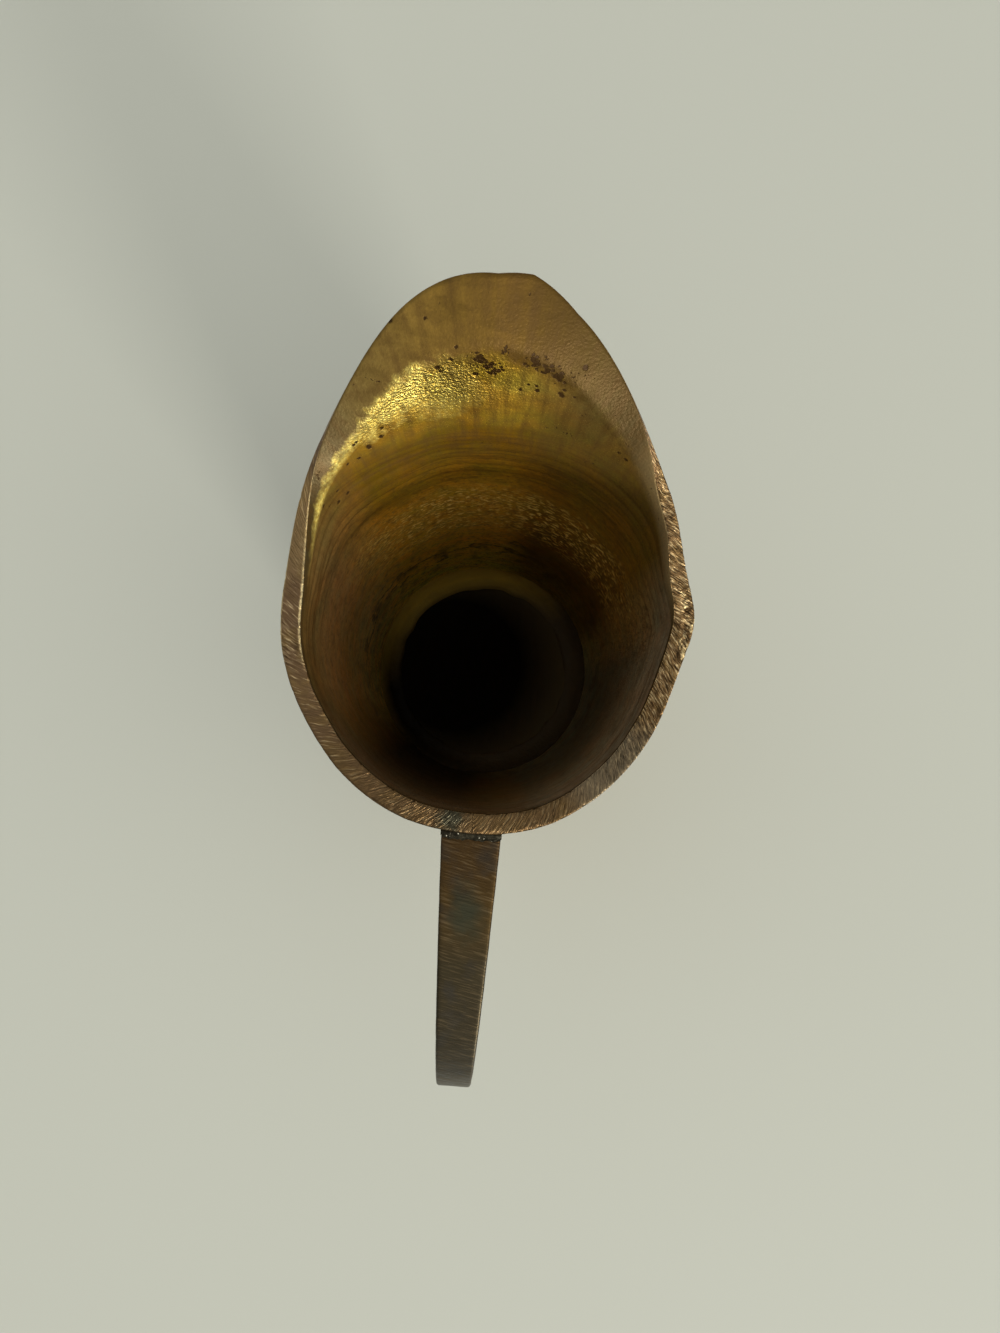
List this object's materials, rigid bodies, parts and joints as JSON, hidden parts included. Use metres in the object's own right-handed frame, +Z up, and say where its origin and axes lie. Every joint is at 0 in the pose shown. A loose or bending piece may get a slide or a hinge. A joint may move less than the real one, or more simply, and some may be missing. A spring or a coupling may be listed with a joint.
{
  "type": "bud vase",
  "caption": "Hand-made brass bud vase: a thick-walled tube with one side of its rim pulled up and out into a spout-like lip, a soldered-in floor and an arched, tapered strap handle.",
  "frame": {"origin": "centre of the underside, on the surface the vase stands on", "axes": "+Z up along the tube, +Y towards the spout, -Y towards the handle, +X to the right when looking from the handle to the spout"},
  "size_m": [0.0605, 0.118, 0.1399],
  "materials": {
    "tube_brass": "aged, unlacquered, filed at the rim",
    "strap_brass": "dark patina with brushed marks across",
    "aged_solder": "dull, dark and slightly green"
  },
  "bodies": {
    "root": {"body_shell": "tube_brass", "floor_disc": "tube_brass", "floor_solder_ring": "aged_solder", "strap_handle": "strap_brass", "rim_solder_bead": "aged_solder", "upper_solder_fillet": "aged_solder", "lower_solder_fillet": "aged_solder", "toe_solder_bead": "aged_solder"}
  },
  "joints": []
}
